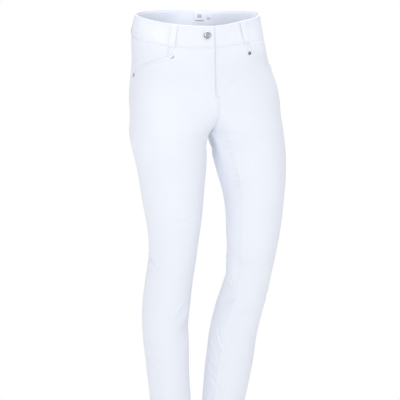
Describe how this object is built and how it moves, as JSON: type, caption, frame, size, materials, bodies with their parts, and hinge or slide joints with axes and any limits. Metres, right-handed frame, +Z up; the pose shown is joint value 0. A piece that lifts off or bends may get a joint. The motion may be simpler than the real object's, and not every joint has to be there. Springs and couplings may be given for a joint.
{
  "type": "golf pants",
  "caption": "Slim women's golf pants in plain white stretch twill, worn by nobody and keeping their worn form, with a belt-looped waistband, curved front pockets and a lapped fly.",
  "frame": {"origin": "middle of the waist opening, half way up the waistband at the sides, where the wearer's waist holds the pants", "axes": "+Z up, the front faces -Y, +X is the wearer's left"},
  "size_m": [0.3616, 0.2317, 1.0503],
  "materials": {
    "cloth": "white stretch twill, matt",
    "label": "plain woven label",
    "metal": "dark nickel, polished"
  },
  "bodies": {
    "root": {"front_right": "cloth", "front_left": "cloth", "back_right": "cloth", "back_left": "cloth", "pocket_facing_right": "cloth", "pocket_facing_left": "cloth", "waistband": "cloth", "belt_loop_front_right": "cloth", "belt_loop_front_left": "cloth", "belt_loop_rear_right": "cloth", "belt_loop_rear_left": "cloth", "belt_loop_back": "cloth", "label": "label", "button": "metal", "rivet_inner_right": "metal", "rivet_inner_left": "metal", "rivet_outer_right": "metal", "rivet_outer_left": "metal"}
  },
  "joints": []
}
